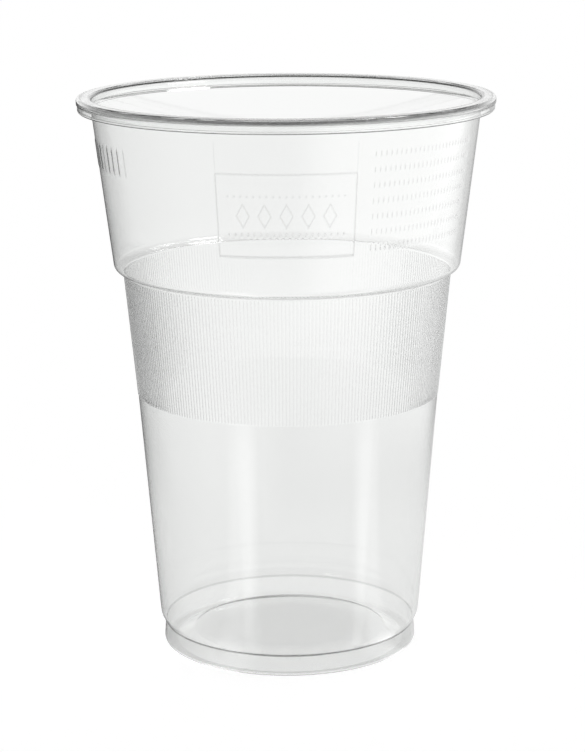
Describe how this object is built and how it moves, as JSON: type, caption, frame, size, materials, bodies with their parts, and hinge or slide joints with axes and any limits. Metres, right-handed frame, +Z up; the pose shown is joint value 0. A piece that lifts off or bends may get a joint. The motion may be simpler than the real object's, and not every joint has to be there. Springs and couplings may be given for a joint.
{
  "type": "plastic party cup",
  "caption": "Clear thin-walled plastic drinking cup for a pint, tapered, with a rolled rim, a nesting shoulder, a finely ribbed grip band and a hollow foot ring.",
  "frame": {"origin": "centre of the foot ring's underside, on the surface the cup stands on", "axes": "+Z up along the cup's axis of symmetry, from the foot to the rim; X and Y are equivalent"},
  "size_m": [0.0974, 0.0974, 0.132],
  "materials": {
    "clear_plastic": "clear, glossy, thin drawn sheet with a slight haze"
  },
  "bodies": {
    "root": {"cup": "clear_plastic"}
  },
  "joints": []
}
